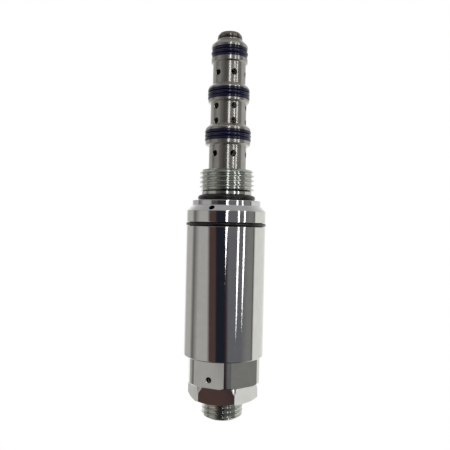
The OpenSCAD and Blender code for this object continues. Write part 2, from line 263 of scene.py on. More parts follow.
def move(obj, matrix):
    """Moves an object by a matrix, on top of where it is."""
    obj.matrix_world = matrix @ obj.matrix_world
    bpy.context.view_layer.update()
    return obj


def turned(obj, degrees, lift=0.0):
    """Turns an object about the Z axis and lifts it by millimetres."""
    turn = Matrix.Rotation(math.radians(degrees), 4, "Z")
    return move(obj, Matrix.Translation((0, 0, lift * MM)) @ turn)


# Half of a thread's form: (distance from the crest's middle in pitches, share of the full depth)
CREST_FORM = [
    (0, 1), (0.06, 1), (0.085, 0.96), (0.115, 0.86),
    (0.23, 0.47), (0.34, 0.112), (0.375, 0.025), (0.41, 0)
]
# Depth of a metric thread in pitches, and the slopes on which it fades in at its lower and upper end
THREAD_DEPTH = 0.5413
FADE_LOW = 1.2
FADE_HIGH = 1.0


def thread_rows(low, high, pitch):
    """Rows of a thread at angle 0 as (height, share of the depth), and how many rows one pitch has."""
    one_pitch = sorted(
        [(0.5 + t, share) for t, share in CREST_FORM] + [(0.5 - t, share) for t, share in CREST_FORM[1:]]
    )
    pitches = math.ceil((high - low) / pitch) + 1
    rows = [((n + t) * pitch, share) for n in range(pitches + 1) for t, share in one_pitch]
    return rows, len(one_pitch)


def threaded_lathe(name, before, after, r, pitch, low, high, low_r, high_r, segments, sharp=None):
    """Lathe whose outline is before, a helical thread going up from low to high, and after."""
    rows, per_pitch = thread_rows(low, high, pitch)
    root = r - THREAD_DEPTH * pitch
    bm = bmesh.new()
    columns = []
    for i in range(segments):
        a = math.tau * i / segments
        line = [(radius, z) for radius, z in before]
        for offset, share in rows:
            z = min(max(low - pitch + offset + pitch * i / segments, low), high)
            limit = min(low_r + (z - low) * FADE_LOW, high_r + (high - z) * FADE_HIGH)
            radius = limit if z in (low, high) else min(root + (r - root) * share, limit)
            line.append((radius, z))
        line += after
        columns.append([bm.verts.new((q * math.cos(a), q * math.sin(a), z)) for q, z in line])
    first, last = len(before), len(before) + len(rows)
    start = columns[0]
    shifted = start[first + per_pitch:last] + [start[last - 1]] * per_pitch
    columns.append(start[:first] + shifted + start[last:])
    count = len(start)
    for here, there in zip(columns, columns[1:]):
        for j in range(count):
            k = (j + 1) % count
            corners = []
            for vert in (here[j], there[j], there[k], here[k]):
                if vert not in corners:
                    corners.append(vert)
            if len(corners) > 2 and not bm.faces.get(corners):
                bm.faces.new(corners)
    return new_object(name, bm, sharp)


def coil_half(name, low, high, mean_r, wire, turns, upper, sides=20, steps_per_turn=48):
    """Half of a compression spring with closed, ground ends; the halves meet at the middle of the wire.

    dead is the number of closed turns at each end, closed_pitch their pitch in wires, and squeeze the height
    of the wire's end over the ground face in wires.
    """
    dead = 1.0
    squeeze = 0.25
    closed_pitch = 1.02
    first_z = low + wire * squeeze
    last_z = high - wire * squeeze
    dead_rise = dead * wire * closed_pitch + wire * (0.5 - squeeze)
    rise = (last_z - first_z - 2 * dead_rise) / (turns - 2 * dead)

    def centre_z(turn):
        if turn < dead:
            return first_z + dead_rise * turn / dead
        if turn > turns - dead:
            return last_z - dead_rise * (turns - turn) / dead
        return first_z + dead_rise + (turn - dead) * rise

    total = round(turns * steps_per_turn)
    middle = total // 2
    steps = range(middle, total + 1) if upper else range(0, middle + 1)
    bm = bmesh.new()
    loops = []
    for i in steps:
        turn = i / steps_per_turn
        a = math.tau * turn
        loop = []
        for j in range(sides):
            b = math.tau * j / sides
            q = mean_r + wire / 2 * math.cos(b)
            z = min(max(centre_z(turn) + wire / 2 * math.sin(b), low), high)
            loop.append(bm.verts.new((q * math.cos(a), q * math.sin(a), z)))
        loops.append(loop)
    for here, there in zip(loops, loops[1:]):
        for j in range(sides):
            k = (j + 1) % sides
            bm.faces.new((here[j], here[k], there[k], there[j]))
    bm.faces.new(list(reversed(loops[0])))
    bm.faces.new(loops[-1])
    return new_object(name, bm, 40)


def hex_prism(name, low, high, flats, angle):
    """Hexagonal prism with one face's normal at the given angle."""
    corner = flats / 2 / math.cos(math.radians(30))
    bm = bmesh.new()
    loops = []
    for z in (low, high):
        loops.append([
            bm.verts.new((corner * math.cos(a), corner * math.sin(a), z))
            for a in (math.radians(angle + 30 + 60 * k) for k in range(6))
        ])
    for i in range(6):
        k = (i + 1) % 6
        bm.faces.new((loops[0][i], loops[0][k], loops[1][k], loops[1][i]))
    bm.faces.new(list(reversed(loops[0])))
    bm.faces.new(loops[1])
    return new_object(name, bm)


def soften(obj, width, angle):
    """Small bevel on the edges over an angle, shaded so that the flats stay flat."""
    modifier = obj.modifiers.new("soften", "BEVEL")
    modifier.width = width * MM
    modifier.segments = 2
    modifier.limit_method = "ANGLE"
    modifier.angle_limit = math.radians(angle)
    modifier = obj.modifiers.new("weigh", "WEIGHTED_NORMAL")
    modifier.weight = 100
    modifier.keep_sharp = False
    bake_modifiers(obj)


# ------------------------------------------------------------------- materials

def node(tree, kind, **settings):
    """New shader node with its settings."""
    made = tree.nodes.new(kind)
    for key, value in settings.items():
        setattr(made, key, value)
    return made


def grain_noise(tree, scale, detail=5.0):
    """Noise on the object's own coordinates, stretched by a scale along each axis (features per metre)."""
    place = node(tree, "ShaderNodeTexCoord")
    mapping = node(tree, "ShaderNodeMapping")
    mapping.inputs["Scale"].default_value = scale
    noise = node(tree, "ShaderNodeTexNoise")
    noise.inputs["Scale"].default_value = 1.0
    noise.inputs["Detail"].default_value = detail
    noise.inputs["Roughness"].default_value = 0.6
    tree.links.new(place.outputs["Object"], mapping.inputs["Vector"])
    tree.links.new(mapping.outputs["Vector"], noise.inputs["Vector"])
    return noise.outputs["Fac"]


def remap(tree, value, low, high):
    """Spreads the middle of a noise value's range over another range."""
    out = node(tree, "ShaderNodeMapRange")
    out.inputs["From Min"].default_value = 0.3
    out.inputs["From Max"].default_value = 0.7
    out.inputs["To Min"].default_value = low
    out.inputs["To Max"].default_value = high
    tree.links.new(value, out.inputs["Value"])
    return out.outputs["Result"]


def blend_colour(tree, value, dark, light):
    """Mixes two colours by a value."""
    mixer = node(tree, "ShaderNodeMix", data_type="RGBA")
    mixer.inputs["A"].default_value = (*dark, 1)
    mixer.inputs["B"].default_value = (*light, 1)
    tree.links.new(value, mixer.inputs["Factor"])
    return mixer.outputs["Result"]


def new_material(name):
    """Empty Principled material: the node tree and its shader."""
    material = bpy.data.materials.new(name)
    material.use_nodes = True
    tree = material.node_tree
    return material, tree, tree.nodes["Principled BSDF"]


def add_bump(tree, shader, layers):
    """Stacks bump layers, each (height value, depth in millimetres, strength)."""
    normal = None
    for height, depth, strength in layers:
        bump = node(tree, "ShaderNodeBump")
        bump.inputs["Distance"].default_value = depth * MM
        bump.inputs["Strength"].default_value = strength
        tree.links.new(height, bump.inputs["Height"])
        if normal:
            tree.links.new(normal, bump.inputs["Normal"])
        normal = bump.outputs["Normal"]
    tree.links.new(normal, shader.inputs["Normal"])


def steel(name, dark, light, rough, grain, grain_depth, anisotropy=0.0, spread=0.05, skin=0.0):
    """Machined steel: grain lines, a mottled tone and a roughness that varies by spread over both.

    The anisotropy is across the turning lines, so lights stretch along the axis and stay crisp around it.
    grain_depth is the depth of the lines in millimetres, and skin that of a fine ripple which breaks the
    edges of the lights.
    """
    material, tree, shader = new_material(name)
    lines = grain_noise(tree, grain)
    patches = grain_noise(tree, MOTTLE, detail=4.0)
    tree.links.new(blend_colour(tree, remap(tree, patches, 0, 1), dark, light), shader.inputs["Base Color"])
    both = node(tree, "ShaderNodeMath", operation="ADD")
    tree.links.new(remap(tree, lines, -spread, spread), both.inputs[0])
    tree.links.new(remap(tree, patches, rough - spread / 2, rough + spread / 2), both.inputs[1])
    tree.links.new(both.outputs["Value"], shader.inputs["Roughness"])
    layers = [(lines, grain_depth, 0.5)]
    if skin:
        layers.append((grain_noise(tree, SKIN, detail=2.0), skin, 1.0))
    add_bump(tree, shader, layers)
    shader.inputs["Metallic"].default_value = 1.0
    if anisotropy:
        shader.inputs["Anisotropic"].default_value = anisotropy
        shader.inputs["Anisotropic Rotation"].default_value = 0.25
        tangent = node(tree, "ShaderNodeTangent", direction_type="RADIAL", axis="Z")
        tree.links.new(tangent.outputs["Tangent"], shader.inputs["Tangent"])
    return material


def rubber(name, dark, light, rough):
    """Moulded elastomer with a fine skin and an oil film on it."""
    material, tree, shader = new_material(name)
    skin = grain_noise(tree, MOULDED, detail=3.0)
    film = grain_noise(tree, FILM, detail=3.0)
    tree.links.new(blend_colour(tree, remap(tree, film, 0, 1), dark, light), shader.inputs["Base Color"])
    tree.links.new(remap(tree, film, rough - 0.08, rough + 0.08), shader.inputs["Roughness"])
    add_bump(tree, shader, [(skin, 0.004, 0.5), (film, 0.012, 0.3)])
    shader.inputs["Specular IOR Level"].default_value = 0.55
    return material


# Grains as noise features per metre along X, Y and Z
TURNED = (40.0, 40.0, 5200.0)
POLISHED = (90.0, 90.0, 1800.0)
DRAWN = (1800.0, 1800.0, 1800.0)
SKIN = (1800.0, 1800.0, 1200.0)
MILLED = (900.0, 900.0, 90.0)
MOTTLE = (250.0, 250.0, 250.0)
MOULDED = (3500.0, 3500.0, 3500.0)
FILM = (400.0, 400.0, 700.0)

STEELS = {
    "sleeve_steel": ((0.45, 0.435, 0.40), (0.53, 0.515, 0.475), 0.24, TURNED, 0.0001, 0.75, 0.02),
    "polished_steel": ((0.71, 0.71, 0.71), (0.77, 0.77, 0.765), 0.055, POLISHED, 0.0002, 0.3, 0.02, 0.005),
    "milled_steel": ((0.68, 0.68, 0.68), (0.76, 0.76, 0.755), 0.045, MILLED, 0.00005, 0.0, 0.02),
    "zinc_steel": ((0.57, 0.59, 0.55), (0.68, 0.70, 0.66), 0.13, TURNED, 0.0003, 0.4),
    "oxide_steel": ((0.17, 0.145, 0.12), (0.30, 0.265, 0.23), 0.24, TURNED, 0.0010, 0.8),
    "ground_steel": ((0.26, 0.26, 0.25), (0.34, 0.34, 0.33), 0.34, TURNED, 0.0006, 0.3),
    "seat_steel": ((0.42, 0.43, 0.44), (0.52, 0.53, 0.54), 0.26, TURNED, 0.0015),
    "spring_steel": ((0.22, 0.23, 0.25), (0.36, 0.38, 0.40), 0.30, DRAWN, 0.002),
}
RUBBERS = {
    "navy_rubber": ((0.008, 0.008, 0.045), (0.014, 0.013, 0.070), 0.14),
    "navy_backup": ((0.009, 0.009, 0.048), (0.016, 0.015, 0.075), 0.16),
    "black_rubber": ((0.005, 0.005, 0.005), (0.011, 0.011, 0.011), 0.26),
}
MATERIALS = {name: steel(name, *values) for name, values in STEELS.items()}
MATERIALS.update({name: rubber(name, *values) for name, values in RUBBERS.items()})


def finish_piece(obj, slot, body, *nodes, look=None):
    """Gives a piece the material of its slot, hangs it on the body it rides on and hides the CAD nodes that
    it stands for.

    look names another material than the slot's; a piece without a body is not hung on anything here.
    """
    obj.data.materials.clear()
    obj.data.materials.append(MATERIALS[look or slot])
    if nodes:
        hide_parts(*nodes)
    if body:
        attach(obj, body)
    return obj


# ------------------------------------------------------- sleeve and its seals

# Lands as (radius, bottom, top, height of the lead-in), from the nose down
LANDS = [(7.95, 60.1, 70.2, 2.2), (8.95, 42.8, 50.9, 1.5), (9.9, 24.2, 33.1, 1.5)]
LEAD_SLOPE = 1.1
LAND_EDGE = 0.45
# Radius of the sleeve below each land
WINDOW_R = [7.2, 7.85, 8.2]
NOSE_NECK_R = 5.6

# Seals in the lands, from the nose down: middle, O-ring's cord and how far the backup rings stand out
SEALS = [(64.5, 1.85, -0.2), (46.5, 2.0, 0.22), (28.35, 2.0, 0.22)]
SEAL_GROOVE_W = 4.4
SEAL_GROOVE_DEPTH = 1.75
BACKUP_W = 1.1

# Rows of ports as (height, radius, which window they are in)
PORT_ROWS = [(55.4, 1.25, 0), (40.8, 1.2, 1), (34.4, 1.2, 1), (20.3, 1.25, 2)]
PORT_COUNT = 6
PORT_ANGLE = -72.5
PORT_DEPTH_R = 2.0
PORT_RIM = 0.25
PORT_FLARE = 0.22

# Tail in the housing, with grooves (middle, width, depth) for its O-ring and circlip
TAIL_R = 7.2
TAIL_SHOULDER = 9.9
TAIL_SEAL_GROOVE = (3, 2.2, 1.5)
CIRCLIP_GROOVE = (-6.55, 1.05, 0.7)

# Stepped bore
SPOOL_BORE_R = 4.53
SPOOL_BORE_TOP = 60.5
PISTON_BORE_R = 3.03
PISTON_BORE_TOP = 67.6
NOSE_THREAD_R = 4.0

# Nose plug and its washer
WASHER_R = 5.5
WASHER_H = 0.7
DOME_R = 5.35
DOME_EDGE_H = 1.0
DOME_TOP_R = 4.3
ORIFICE_R = 0.8
NOSE_SOCKET_FLATS = 4
NOSE_SOCKET_DEPTH = 1.8


def groove_corners(mid, width, r_face, r_floor, downwards=True):
    """Corners of a square groove in an outer face, in the order of travel."""
    sign = 1 if downwards else -1
    start = mid + sign * width / 2
    end = mid - sign * width / 2
    return [(r_face, start, 0.1), (r_floor, start, 0.15), (r_floor, end, 0.15), (r_face, end, 0.1)]


def make_sleeve():
    """Stepped sleeve: lands, seal grooves, windows, drilled ports and the stepped bore."""
    corners = [(NOSE_THREAD_R, NOSE_FACE, 0.1), (NOSE_NECK_R, NOSE_FACE, 0.1)]
    above = NOSE_NECK_R
    for (r, bottom, top, lead), (mid, *_), window in zip(LANDS, SEALS, WINDOW_R):
        start_r = max(above, r - lead * LEAD_SLOPE)
        if start_r > above:
            corners.append((above, top, 0.2))
        corners += [(start_r, top, 0.35), (r, top - lead, 1.6)]
        corners += groove_corners(mid, SEAL_GROOVE_W, r, r - SEAL_GROOVE_DEPTH)
        corners += [(r, bottom + LAND_EDGE, 0.2), (r - LAND_EDGE, bottom, 0.1), (window, bottom, 0.2)]
        above = window
    corners += [(WINDOW_R[2], TAIL_SHOULDER, 0.1), (TAIL_R, TAIL_SHOULDER, 0.1)]
    for mid, width, depth in (TAIL_SEAL_GROOVE, CIRCLIP_GROOVE):
        corners += groove_corners(mid, width, TAIL_R, TAIL_R - depth)
    corners += [
        (TAIL_R, TAIL_END, 0.3), (SPOOL_BORE_R, TAIL_END, 0.3), (SPOOL_BORE_R, SPOOL_BORE_TOP, 0),
        (PISTON_BORE_R, SPOOL_BORE_TOP, 0), (PISTON_BORE_R, PISTON_BORE_TOP, 0),
        (NOSE_THREAD_R, PISTON_BORE_TOP, 0)
    ]
    sleeve = lathe("sleeve_body", outline(corners), 288)
    drills = []
    for z, r, window in PORT_ROWS:
        for k in range(PORT_COUNT):
            bit = drill(r, PORT_DEPTH_R, WINDOW_R[window], rim=PORT_RIM, flare=PORT_FLARE)
            drills.append(turned(bit, PORT_ANGLE + 360 * k / PORT_COUNT, z))
    cut(sleeve, join(drills), 32)
    return finish_piece(sleeve, "sleeve_steel", "housing", "sleeve")


def make_seals():
    """Three seal groups, each an O-ring between two backup rings in a land's groove."""
    for number, ((land_r, *_), (mid, cord_d, out)) in enumerate(zip(LANDS, SEALS), 1):
        floor = land_r - SEAL_GROOVE_DEPTH
        cord = lathe(f"seal_{number}_cord", ring_outline(mid, cord_d, floor + 0.02))
        finish_piece(cord, "navy_rubber", "housing", f"seal_{number}_o_ring")
        for side, word in ((1, "upper"), (-1, "lower")):
            middle = mid + side * (SEAL_GROOVE_W / 2 - FIT - BACKUP_W / 2)
            low = middle - BACKUP_W / 2
            high = middle + BACKUP_W / 2
            inside = floor + FIT
            face = land_r + out
            corners = [(inside, low, 0.1), (face, low, 0.14), (face, high, 0.14), (inside, high, 0.1)]
            backup = lathe(f"seal_{number}_{word}_ring", outline(corners, support=0.12))
            finish_piece(backup, "navy_backup", "housing", f"seal_{number}_{word}_backup")


def make_nose():
    """Domed nose plug with its key socket and orifice, and the washer under it."""
    low = NOSE_FACE
    high = NOSE_FACE + WASHER_H
    thread_r = NOSE_THREAD_R - FIT
    thread_end = PISTON_BORE_TOP + FIT
    corners = [
        (ORIFICE_R, thread_end, 0), (thread_r, thread_end, 0.3), (thread_r, high, 0), (DOME_R, high, 0.25),
        (DOME_R, high + DOME_EDGE_H, 0.7), (DOME_TOP_R, DOME_TOP, 0.8), (ORIFICE_R, DOME_TOP, 0)
    ]
    plug = lathe("nose_plug_dome", outline(corners), 128)
    cut(plug, hex_prism("socket", DOME_TOP - NOSE_SOCKET_DEPTH, DOME_TOP + 1, NOSE_SOCKET_FLATS, 0), 30)
    finish_piece(plug, "oxide_steel", "housing", "nose_plug")
    inner_r = NOSE_THREAD_R + FIT
    corners = [(inner_r, low, 0.05), (WASHER_R, low, 0.3), (WASHER_R, high, 0.3), (inner_r, high, 0.05)]
    washer = lathe("nose_washer_ring", outline(corners, support=0.1), 128)
    finish_piece(washer, "black_rubber", "housing", "nose_washer")


# ------------------------------------------------------------- spring housing

# Neck above the seat face: thread, relief under it and gland for the O-ring
NECK_R = 12.0
NECK_PITCH = 2.0
NECK_CHAMFER = 1.0
RELIEF_R = 11.0
RELIEF_TOP = 3.9
GLAND_R = 10.15
GLAND_H = 2.6
NECK_SEAL_MID = 1.23
NECK_CORD = 2.4

# Barrel below it
COLLAR_R = 15.0
COLLAR_H = 2.2
SHOULDER_LOW = COLLAR_H + BODY_R - COLLAR_R
BODY_SEAL_Z = -10.3
BODY_CORD = 1.5
BODY_GROOVE_W = 1.8
BODY_GROOVE_DEPTH = 1.35
BODY_EDGE = 0.4
CHAMBER_R = 12.5
CHAMBER_TOP = -6
CHAMBER_LOW = -62
CAP_THREAD_R = 13.5
CAP_THREAD_TOP = -63
CAP_RELIEF = 0.3

# Oblique drain, which leans out from upright to stand square to the shoulder's chamfer
DRAIN_ANGLE = -112
DRAIN_R = 1.25
DRAIN_LEAN = 45


def make_housing():
    """Polished barrel with its collar, O-ring groove and oblique drain."""
    tail_bore_r = TAIL_R + FIT
    relief_r = CAP_THREAD_R + CAP_RELIEF
    corners = [
        (CAP_THREAD_R, BODY_LOW, 0.1), (BODY_R - BODY_EDGE, BODY_LOW, 0.1),
        (BODY_R, BODY_LOW + BODY_EDGE, 0.15),
        *groove_corners(BODY_SEAL_Z, BODY_GROOVE_W, BODY_R, BODY_R - BODY_GROOVE_DEPTH, downwards=False),
        (BODY_R, -SHOULDER_LOW, 0.3), (COLLAR_R, -COLLAR_H, 0.2), (COLLAR_R, 0, 0.25), (tail_bore_r, 0, 0),
        (tail_bore_r, CHAMBER_TOP, 0), (CHAMBER_R, CHAMBER_TOP, 0.8), (CHAMBER_R, CHAMBER_LOW, 0),
        (relief_r, CHAMBER_LOW, 0), (relief_r, CAP_THREAD_TOP, 0), (CAP_THREAD_R, CAP_THREAD_TOP, 0)
    ]
    barrel = lathe("housing_barrel", outline(corners), 360)
    bit = drill(DRAIN_R, -8, 2, 40)
    upright = Matrix.Rotation(math.radians(-90), 4, "Y")
    lean = Matrix.Rotation(math.radians(DRAIN_LEAN), 4, "Y")
    move(bit, lean @ upright)
    middle_r = (COLLAR_R + BODY_R) / 2
    move(bit, Matrix.Translation((middle_r * MM, 0, -(COLLAR_H + SHOULDER_LOW) / 2 * MM)))
    cut(barrel, turned(bit, DRAIN_ANGLE), 40)
    return finish_piece(barrel, "polished_steel", "housing", "spring_housing")


def make_neck():
    """Neck of the housing above the seat face: gland for the O-ring, relief and helical thread."""
    tail_bore_r = TAIL_R + FIT
    before = outline_run([
        (tail_bore_r, 0, 0), (GLAND_R, 0, 0), (GLAND_R, GLAND_H, 0.15), (RELIEF_R, GLAND_H, 0.1),
        (RELIEF_R, RELIEF_TOP - 0.05, 0)
    ])
    top_r = WINDOW_R[2] + 0.1
    after = outline_run([
        (NECK_R - NECK_CHAMFER, NECK_TOP - 0.01, 0), (top_r, NECK_TOP, 0.2), (top_r, TAIL_SHOULDER, 0),
        (tail_bore_r, TAIL_SHOULDER, 0), (tail_bore_r, 0.2, 0)
    ])
    neck = threaded_lathe("housing_neck", before, after, NECK_R, NECK_PITCH, RELIEF_TOP, NECK_TOP,
                          RELIEF_R, NECK_R - NECK_CHAMFER, 360, sharp=40)
    return finish_piece(neck, "zinc_steel", "housing", "spring_housing")


def make_housing_seals():
    """O-ring on the seat face and O-ring in the barrel's groove."""
    neck = lathe("neck_seal", ring_outline(NECK_SEAL_MID, NECK_CORD, GLAND_R + 0.04), 256)
    finish_piece(neck, "black_rubber", "housing", "neck_o_ring")
    floor = BODY_R - BODY_GROOVE_DEPTH
    body = lathe("barrel_seal", ring_outline(BODY_SEAL_Z, BODY_CORD, floor + 0.02), 256)
    finish_piece(body, "black_rubber", "housing", "body_o_ring")


# ------------------------------------------------------ end cap, nut, adjuster

# Hexagons: flats, bearing of one flat, turned corner radius and bevels as (radial, axial)
CAP_FLATS = 30
CAP_FLAT_ANGLE = -113.1
CAP_CORNER_R = 16.5
CAP_BEVEL = (0.7, 0.6)
NUT_FLATS = 27
NUT_FLAT_ANGLE = 19
NUT_CORNER_R = NUT_FLATS / 2 / math.cos(math.radians(30)) - 0.05
NUT_BEVEL_LOW = (1.7, 1.0)
NUT_BEVEL_HIGH = (0.8, 2.8)
EDGE_BREAK = 0.08

# Wire hole in one flat, at a height over the cap's lower face
WIRE_HOLE_R = 1.1
WIRE_HOLE_H = 3.3

# Threaded end of the cap inside the housing, with the O-ring groove (middle, width, depth)
CAP_END_R = CHAMBER_R - FIT
CAP_NECK_R = CHAMBER_R - 0.6
CAP_SEAL_GROOVE = (-59.5, 2.2, 1.6)

# Recess for the seal in the nut's upper face
NUT_RECESS_R = 11.15
NUT_RECESS_DEPTH = 1.35

# Adjusting plug: thread, spigot with its O-ring groove (middle, width, depth), nose and hexagon socket
STUB_PITCH = 2.0
STUB_CHAMFER = 1.5
STUB_FADE = 1.2
BORE_END = -69
STUB_TOP = -73
SPIGOT_R = 7.5
SPIGOT_TOP = -61.5
PLUG_SEAL_GROOVE = (-63.5, 2.2, 1.6)
PLUG_NOSE_R = 5
PLUG_SOCKET_FLATS = 8
PLUG_SOCKET_DEPTH = 8


def hex_with_bevels(name, low, high, flats, r, angle, bore, bevel_low, bevel_high):
    """Turned blank cut to a hexagon, so that its bevels (radial, axial) meet the flats in arcs."""
    corners = [(bore, low, 0.3)]
    corners += [(r - bevel_low[0], low, 0), (r, low + bevel_low[1], 0)] if bevel_low else [(r, low, 0)]
    corners += [(r, high - bevel_high[1], 0), (r - bevel_high[0], high, 0)] if bevel_high else [(r, high, 0)]
    corners += [(bore, high, 0.3)]
    blank = lathe(name, outline(corners), 288)
    meet(blank, hex_prism("prism", low - 1, high + 1, flats, angle), 12)
    return blank


def make_end_cap():
    """Hexagonal end cap with its wire hole, and the threaded spigot that goes into the housing."""
    bore_r = STUB_R + FIT
    cap = hex_with_bevels("end_cap_hex", CAP_LOW, BODY_LOW, CAP_FLATS, CAP_CORNER_R, CAP_FLAT_ANGLE, bore_r,
                          CAP_BEVEL, None)
    bit = drill(WIRE_HOLE_R, STUB_R - 1, CAP_FLATS / 2, 40, rim=0.2, flare=0.25)
    cut(cap, turned(bit, CAP_FLAT_ANGLE, CAP_LOW + WIRE_HOLE_H), 12)
    soften(cap, EDGE_BREAK, 20)
    finish_piece(cap, "polished_steel", "housing", "end_cap", look="milled_steel")
    mid, width, depth = CAP_SEAL_GROOVE
    thread_r = CAP_THREAD_R - FIT
    corners = [
        (bore_r, BODY_LOW, 0), (thread_r, BODY_LOW, 0), (thread_r, CAP_THREAD_TOP, 0.4),
        (CAP_NECK_R, CAP_THREAD_TOP, 0.1), (CAP_NECK_R, CHAMBER_LOW, 0.1), (CAP_END_R, CHAMBER_LOW, 0.1),
        *groove_corners(mid, width, CAP_END_R, CAP_END_R - depth, downwards=False),
        (CAP_END_R, CAP_TOP, 0.4), (SPIGOT_R + 0.03, CAP_TOP, 0.3), (SPIGOT_R + 0.03, BORE_END, 0),
        (bore_r, BORE_END, 0)
    ]
    spigot = lathe("end_cap_spigot", outline(corners), 160)
    return finish_piece(spigot, "zinc_steel", "housing")


def make_lock_nut():
    """Lock nut with both faces bevelled, and a recess for the seal ring in its upper face."""
    nut = hex_with_bevels("lock_nut_hex", NUT_LOW, NUT_TOP, NUT_FLATS, NUT_CORNER_R, NUT_FLAT_ANGLE,
                          STUB_R + FIT, NUT_BEVEL_LOW, NUT_BEVEL_HIGH)
    floor = NUT_TOP - NUT_RECESS_DEPTH
    over = NUT_TOP + 1
    recess = lathe("recess", [(0, floor), (NUT_RECESS_R, floor), (NUT_RECESS_R, over), (0, over)], 160)
    cut(nut, recess, 12)
    soften(nut, EDGE_BREAK, 20)
    return finish_piece(nut, "polished_steel", "nut", "lock_nut", look="milled_steel")


def make_adjusting_plug():
    """Adjusting plug: helical thread, sealing spigot, nose and the hexagon socket in its end."""
    low_r = STUB_R - STUB_CHAMFER
    mid, width, depth = PLUG_SEAL_GROOVE
    before = outline_run([(0, PLUG_LOW, 0), (low_r, PLUG_LOW, 0)])
    after = outline_run([
        (SPIGOT_R, STUB_TOP, 0), *groove_corners(mid, width, SPIGOT_R, SPIGOT_R - depth, downwards=False),
        (SPIGOT_R, SPIGOT_TOP, 0.4), (PLUG_NOSE_R, SPIGOT_TOP, 0.2), (PLUG_NOSE_R, PLUG_TOP, 0.9),
        (0, PLUG_TOP, 0)
    ])
    plug = threaded_lathe("adjusting_screw", before, after, STUB_R, STUB_PITCH, PLUG_LOW, STUB_TOP,
                          low_r, STUB_R - STUB_FADE, 256)
    cut(plug, hex_prism("socket", PLUG_LOW - 1, PLUG_LOW + PLUG_SOCKET_DEPTH, PLUG_SOCKET_FLATS, 30), 35)
    return finish_piece(plug, "zinc_steel", "adjuster", "adjusting_plug")


# Springs as (name, low end, high end, mean radius, wire, turns)
SPRINGS = [("main_spring", -48.98, -15.02, 9.6, 2.6, 7.5), ("inner_spring", -49.98, -15.02, 5.8, 1.6, 10.5)]


def make_springs():
    """Each coil spring in two halves that meet at its middle, so that either end can be pushed."""
    for name, low, high, mean_r, wire, turns in SPRINGS:
        lower = coil_half(f"{name}_lower", low, high, mean_r, wire, turns, False)
        finish_piece(lower, "spring_steel", None, name)
        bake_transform(lower)
        upper = coil_half(f"{name}_upper", low, high, mean_r, wire, turns, True)
        finish_piece(upper, "spring_steel", None, name)
        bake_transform(upper)


def dress_cad_nodes():
    """Material for the CAD nodes that are shown as they are."""
    for row in frame["record"]["subparts"]:
        obj = frame["nodes"][row["node"]]
        if obj.hide_render:
            continue
        obj.data.materials.clear()
        obj.data.materials.append(MATERIALS[row["material_slot"]])
        smooth(obj, 30)


make_sleeve()
make_seals()
make_nose()
make_housing()
make_neck()
make_housing_seals()
make_end_cap()
make_lock_nut()
make_adjusting_plug()
make_springs()
dress_cad_nodes()


# ----------------------------------------------------------------------- stage

# Lengths here are metres; the wall has WALL_STEPS columns and a row at every WALL_RISE degrees up
CENTRE = Vector((0, 0, (CAD_BOX[0].z + CAD_BOX[1].z) / 2))
STUDIO_R = 0.9
WALL_STEPS = 540
WALL_RISE = 2
BACKDROP_R = 4.0
FLOOR_DROP = 0.4

# Tints, as factors on red, green and blue
PLAIN = (1.0, 1.0, 1.0)
WARM = (1.0, 0.97, 0.92)
PALE = (1.0, 1.0, 0.95)
COOL = (0.95, 0.97, 1.05)
BROWN = (1.4, 0.85, 0.75)
NAVY = (0.8, 0.9, 1.4)

# The studio is a round wall of plain panels. Bearing 0 is behind the camera, +90 is to its right, in degrees.
# Each panel: (bearing of its left edge at the horizon, degrees that this edge leans left per degree up, its
# softness, tone below the horizon, tone above it, tint below the horizon)
PANELS = [
    (-180, 0, 0, 1.0, 0.9, PLAIN),      # white sweep behind the valve
    (-150, 0, 15, 0.5, 0.5, WARM),      # left wall
    (-107, 0, 12, 0.15, 0.2, WARM),     # doorway in it
    (-90, 0, 20, 0.45, 0.35, WARM),     # pale screen
    (-50, 0.4, 8, 0.06, 0.2, BROWN),    # brown curtain
    (-28, 0.4, 5, 0.02, 0.12, NAVY),    # navy curtain
    (0, 0.4, 5, 0.05, 0.2, BROWN),      # brown hem of the curtain
    (5, 0.4, 5, 0.15, 0.25, COOL),      # grey front wall
    (60, 0, 20, 0.22, 0.25, PALE),      # shaded right wall
    (86, 0, 3, 0.08, 0.15, PLAIN),      # corner of the right wall
    (91, 0, 6, 0.8, 0.6, PALE),         # lit right wall
    (155, 0, 25, 1.0, 0.9, PLAIN),      # white sweep again
]
# Window lights in front of that wall, each narrowing to a point at its lower end:
# (bearing at the horizon, lean per degree up, half width, lowest elevation, tone)
WINDOWS = [(2, 0.15, 3, -6, 3), (36, 0.1, 2, -14, 3), (54, 0.2, 2, -13, 3)]
WINDOW_FADE = 8
WINDOW_TOP = 60
CEILING = 0.4
GROUND = 0.05


def mix(a, b, t):
    """Mix of two numbers or colours, with the share t held between 0 and 1."""
    t = min(max(t, 0), 1)
    if isinstance(a, (int, float)):
        return a + (b - a) * t
    return [p + (q - p) * t for p, q in zip(a, b)]


def panel_colour(panel, elevation):
    """Colour of one studio panel at an elevation in degrees."""
    *_, low, high, tint = panel
    return mix([low * c for c in tint], [high, high, high], (elevation - 2) / 6)


def wall_tone(bearing, elevation):
    """Colour of the studio wall in one direction from the valve, in degrees."""
    colour = panel_colour(PANELS[0], elevation)
    for panel in PANELS[1:]:
        edge, lean, softness = panel[:3]
        past = bearing - edge + lean * elevation
        colour = mix(colour, panel_colour(panel, elevation), past / softness + 0.5)
    if elevation > 0:
        colour = mix(colour, (CEILING, CEILING, CEILING), (elevation - 35) / 20)
    else:
        colour = mix(colour, (GROUND, GROUND, GROUND), (-elevation - 40) / 25)
    return colour


def wall_point(bearing, elevation, r):
    """Point at a distance from the valve's middle, in one direction in degrees."""
    b = math.radians(bearing)
    e = math.radians(elevation)
    return (r * math.cos(e) * math.sin(b), -r * math.cos(e) * math.cos(b), r * math.sin(e))


